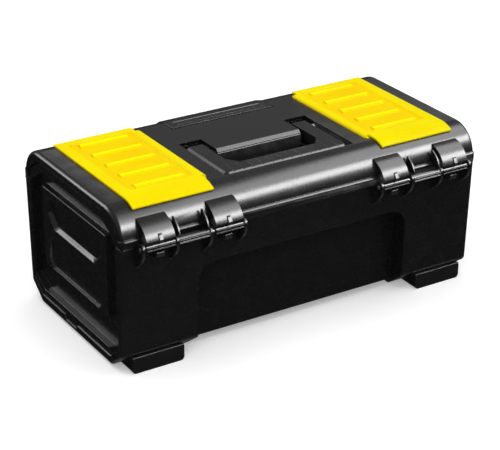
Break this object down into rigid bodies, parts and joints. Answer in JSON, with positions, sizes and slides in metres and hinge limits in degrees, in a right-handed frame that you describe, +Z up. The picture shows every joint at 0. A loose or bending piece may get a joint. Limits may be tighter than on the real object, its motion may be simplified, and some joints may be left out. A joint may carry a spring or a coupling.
{
  "type": "toolbox with tray",
  "caption": "Black plastic toolbox with a lift-out tray, a hinged lid with two yellow-covered organisers, a folding carry handle and a press latch.",
  "frame": {"origin": "under the middle of the whole box, on the surface that the feet stand on", "axes": "+X along the length, +Y from the hinge side to the latch side, +Z up"},
  "size_m": [0.394, 0.2125, 0.1646],
  "materials": {
    "black_plastic": "moulded, low gloss",
    "handle_plastic": "moulded, satin",
    "foot_plastic": "moulded, matt",
    "tray_plastic": "moulded, satin",
    "yellow_plastic": "moulded, glossy",
    "steel": "drawn wire"
  },
  "bodies": {
    "case": {"case_body": "black_plastic", "hinge_pin_left": "steel", "hinge_pin_right": "steel", "foot_hinge_side_left": "foot_plastic", "foot_hinge_side_right": "foot_plastic", "foot_latch_side_left": "foot_plastic", "foot_latch_side_right": "foot_plastic"},
    "lid": {"lid_shell": "black_plastic", "handle_pin_left": "steel", "handle_pin_right": "steel", "latch_pin": "steel", "latch_spring": "steel"},
    "cover_left": {"organiser_cover_left": "yellow_plastic"},
    "cover_right": {"organiser_cover_right": "yellow_plastic"},
    "handle": {"carry_handle": "handle_plastic"},
    "latch": {"latch_lever": "black_plastic"},
    "tray": {"tool_tray": "tray_plastic", "tray_web": "tray_plastic", "tray_divider_1": "tray_plastic", "tray_divider_2": "tray_plastic", "tray_divider_3": "tray_plastic", "tray_divider_4": "tray_plastic"}
  },
  "joints": [
    {"name": "lid_hinge", "type": "hinge", "parent": "case", "child": "lid", "pos_m": [0, -0.10075, 0.1295], "axis": [1, 0, 0], "range_deg": [0, 105]},
    {"name": "handle_fold", "type": "hinge", "parent": "lid", "child": "handle", "pos_m": [0, 0.00575, 0.156], "axis": [-1, 0, 0], "range_deg": [0, 95]},
    {"name": "cover_left_hinge", "type": "hinge", "parent": "lid", "child": "cover_left", "pos_m": [-0.091, 0.00675, 0.1612], "axis": [0, 1, 0], "range_deg": [0, 100]},
    {"name": "cover_right_hinge", "type": "hinge", "parent": "lid", "child": "cover_right", "pos_m": [0.091, 0.00675, 0.1612], "axis": [0, -1, 0], "range_deg": [0, 100]},
    {"name": "latch_press", "type": "hinge", "parent": "lid", "child": "latch", "pos_m": [0, 0.08575, 0.1535], "axis": [1, 0, 0], "range_deg": [0, 6], "stiffness_Nm_per_rad": 1.3, "springref_deg": -2.86, "deforming": ["latch_spring"]},
    {"name": "tray_lift", "type": "slide", "parent": "case", "child": "tray", "axis": [0, 0, 1], "range_m": [0, 0.004]}
  ]
}
